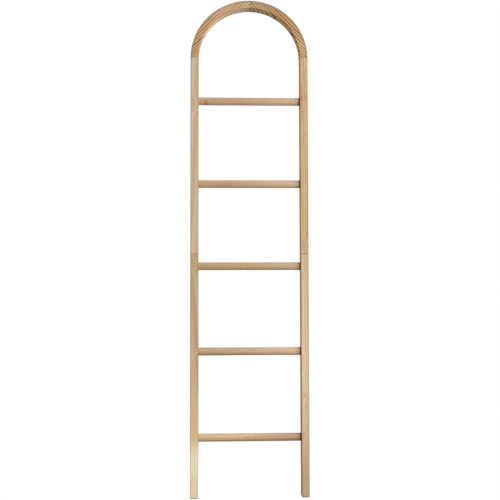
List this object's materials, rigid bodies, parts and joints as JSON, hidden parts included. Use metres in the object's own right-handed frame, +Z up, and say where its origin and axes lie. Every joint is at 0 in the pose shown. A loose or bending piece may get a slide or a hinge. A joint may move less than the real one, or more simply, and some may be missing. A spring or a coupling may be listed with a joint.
{
  "type": "blanket ladder",
  "caption": "Leaning wooden blanket ladder with a half-round arched top and round rungs between flat stiles, for hanging throws and towels against a wall",
  "frame": {"origin": "on the floor, midway between the feet and midway through their depth", "axes": "+X to the right as seen from the front, +Y to the wall that it leans on, +Z up along the stiles. The ladder stands upright in this frame; in use it leans back a few degrees"},
  "size_m": [0.434, 0.04, 1.828],
  "materials": {
    "pine_stile": "planed and sanded pine under a thin matt clear coat",
    "pine_arch": "pine with a close, strong grain, sanded, thin matt clear coat",
    "pine_rung": "turned and sanded pine under a thin matt clear coat",
    "pine_plug": "end-grain plug, sanded flush",
    "beech_dowel": "fluted beech dowel, as supplied",
    "zinc_plated_steel": "bright zinc plate",
    "die_cast_zinc": "as cast, tumbled",
    "brass_insert": "machined",
    "cover_plastic": "moulded, fine texture, wood tone",
    "felt": "pressed wool felt, grey-brown"
  },
  "bodies": {
    "root": {"arch_foot_dowels_left": "beech_dowel", "arch_foot_dowels_right": "beech_dowel", "arch_quarter_left": "pine_arch", "arch_quarter_right": "pine_arch", "cam_bolt_left": "zinc_plated_steel", "cam_bolt_right": "zinc_plated_steel", "cam_cover_left": "cover_plastic", "cam_cover_right": "cover_plastic", "cam_left": "die_cast_zinc", "cam_right": "die_cast_zinc", "crown_dowels": "beech_dowel", "foot_pad_left": "felt", "foot_pad_right": "felt", "lower_stile_left": "pine_stile", "lower_stile_right": "pine_stile", "rung_1": "pine_rung", "rung_2": "pine_rung", "rung_3": "pine_rung", "rung_4": "pine_rung", "rung_5": "pine_rung", "rung_bolts_left": "zinc_plated_steel", "rung_bolts_right": "zinc_plated_steel", "rung_inserts_left": "brass_insert", "rung_inserts_right": "brass_insert", "rung_plugs_left": "pine_plug", "rung_plugs_right": "pine_plug", "stile_dowel_left": "beech_dowel", "stile_dowel_right": "beech_dowel", "upper_stile_left": "pine_stile", "upper_stile_right": "pine_stile"}
  },
  "joints": []
}
